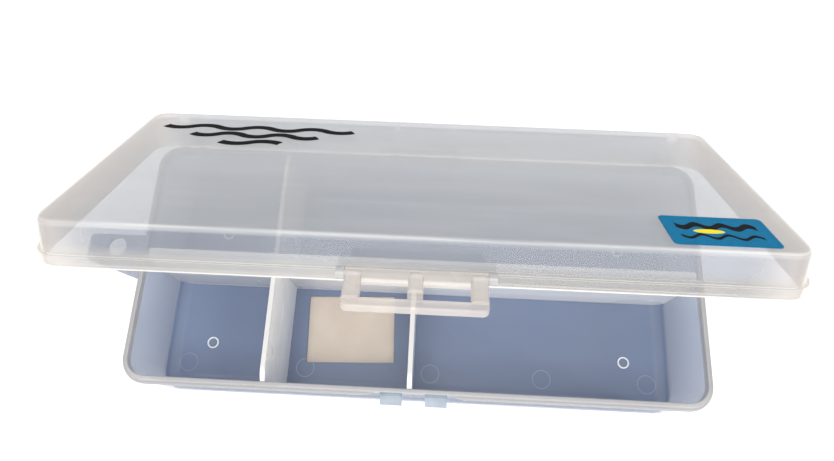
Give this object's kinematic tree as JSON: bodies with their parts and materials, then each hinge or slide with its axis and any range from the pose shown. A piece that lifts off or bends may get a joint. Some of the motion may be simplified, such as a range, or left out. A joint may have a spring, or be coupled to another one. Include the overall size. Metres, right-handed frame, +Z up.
{
  "type": "compartment tackle box",
  "caption": "Clear moulded tackle box: compartment tray with fixed dividers, hinged lid standing half open, flip-up snap latch and hanging tab.",
  "frame": {"origin": "middle of the tray's underside, on the surface it stands on", "axes": "+X to the right along the width, -Y to the front with the latch, +Z up"},
  "size_m": [0.2542, 0.1127, 0.1278],
  "materials": {
    "clear_plastic": "clear to milky moulded polypropylene, glossy",
    "milky_plastic": "milky moulded polypropylene, satin gloss",
    "black_print": "screen-printed ink, satin",
    "sticker": "printed vinyl-faced sticker, satin",
    "paper_label": "plain matt paper"
  },
  "bodies": {
    "tray": {"tray_shell": "clear_plastic", "long_partition": "clear_plastic", "left_divider_front": "clear_plastic", "left_divider_back": "clear_plastic", "centre_divider_front": "clear_plastic", "left_catch": "clear_plastic", "right_catch": "clear_plastic", "hang_tab": "clear_plastic", "floor_rings": "clear_plastic", "base_label": "paper_label", "hinge_lugs_left": "clear_plastic", "hinge_lugs_centre": "clear_plastic", "hinge_lugs_right": "clear_plastic", "hinge_pin_left": "clear_plastic", "hinge_pin_centre": "clear_plastic", "hinge_pin_right": "clear_plastic"},
    "lid": {"lid_shell": "clear_plastic", "latch_lugs": "clear_plastic", "latch_rod": "clear_plastic", "lid_print": "black_print", "lid_sticker": "sticker", "lid_knuckle_left": "clear_plastic", "lid_knuckle_centre": "clear_plastic", "lid_knuckle_right": "clear_plastic"},
    "latch": {"latch_flap": "milky_plastic", "latch_post_left": "milky_plastic", "latch_post_centre": "milky_plastic", "latch_post_right": "milky_plastic"}
  },
  "joints": [
    {"name": "lid_hinge", "type": "hinge", "parent": "tray", "child": "lid", "pos_m": [0, 0.0528, 0.0465], "axis": [-1, 0, 0], "range_deg": [-42.4, 137.6]},
    {"name": "latch_hinge", "type": "hinge", "parent": "lid", "child": "latch", "pos_m": [0, -0.02278, 0.11944], "axis": [-1, 0, 0], "range_deg": [-78, 87]}
  ]
}
